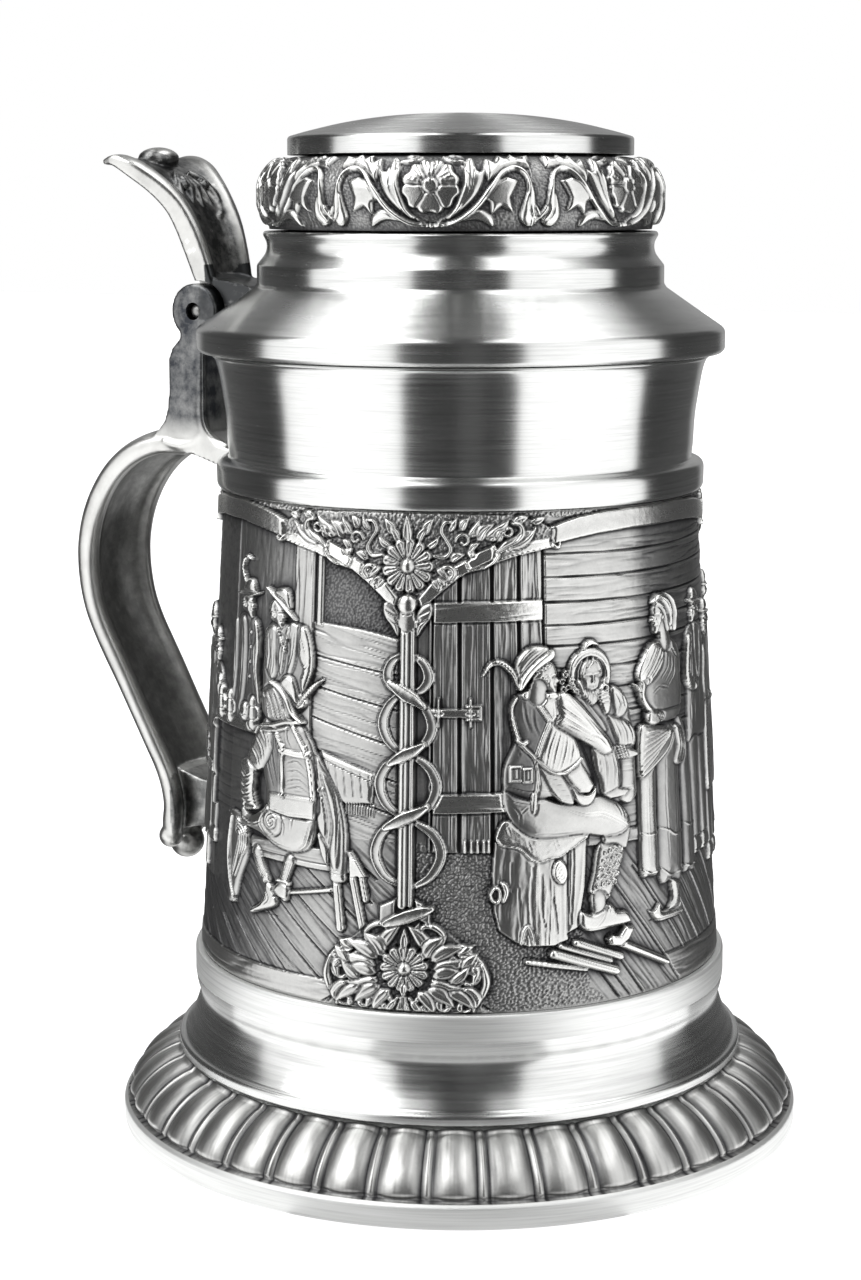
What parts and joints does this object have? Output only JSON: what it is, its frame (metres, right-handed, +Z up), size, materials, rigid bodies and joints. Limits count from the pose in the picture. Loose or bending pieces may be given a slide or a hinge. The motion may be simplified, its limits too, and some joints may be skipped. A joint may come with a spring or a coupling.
{
  "type": "lidded tankard",
  "caption": "Lidded pewter drinking tankard: relief drum on a gadrooned foot, strap handle, and a hinged domed lid with a thumb lift.",
  "frame": {"origin": "centre of the flat underside of the foot, on the surface that the tankard stands on", "axes": "+Z up along the vessel's axis, handle and hinge towards -X, +Y to the right of someone looking from the handle to the vessel"},
  "size_m": [0.1425, 0.122, 0.1785],
  "materials": {
    "pewter_turned": "lathe-turned pewter, fine brushing round the axis, satin bright",
    "pewter_cast": "cast pewter, hand polished on the high places, greyer in the channels",
    "pewter_antique": "cast relief in pewter with dark antiquing in the recesses and rubbed bright high places",
    "pewter_plain": "plain dull pewter"
  },
  "bodies": {
    "vessel": {"base_plate": "pewter_plain", "foot_ring": "pewter_antique", "foot_collar": "pewter_turned", "vessel_floor": "pewter_plain", "relief_drum": "pewter_antique", "neck_band": "pewter_turned", "handle": "pewter_cast", "hinge_pin": "pewter_cast"},
    "lid": {"thumb_lift": "pewter_cast", "lid_cone": "pewter_turned", "lid_band": "pewter_antique", "lid_dome": "pewter_turned"}
  },
  "joints": [
    {"name": "lid_hinge", "type": "hinge", "parent": "vessel", "child": "lid", "pos_m": [-0.052, 0, 0.1436], "axis": [0, -1, 0], "range_deg": [0, 105]}
  ]
}
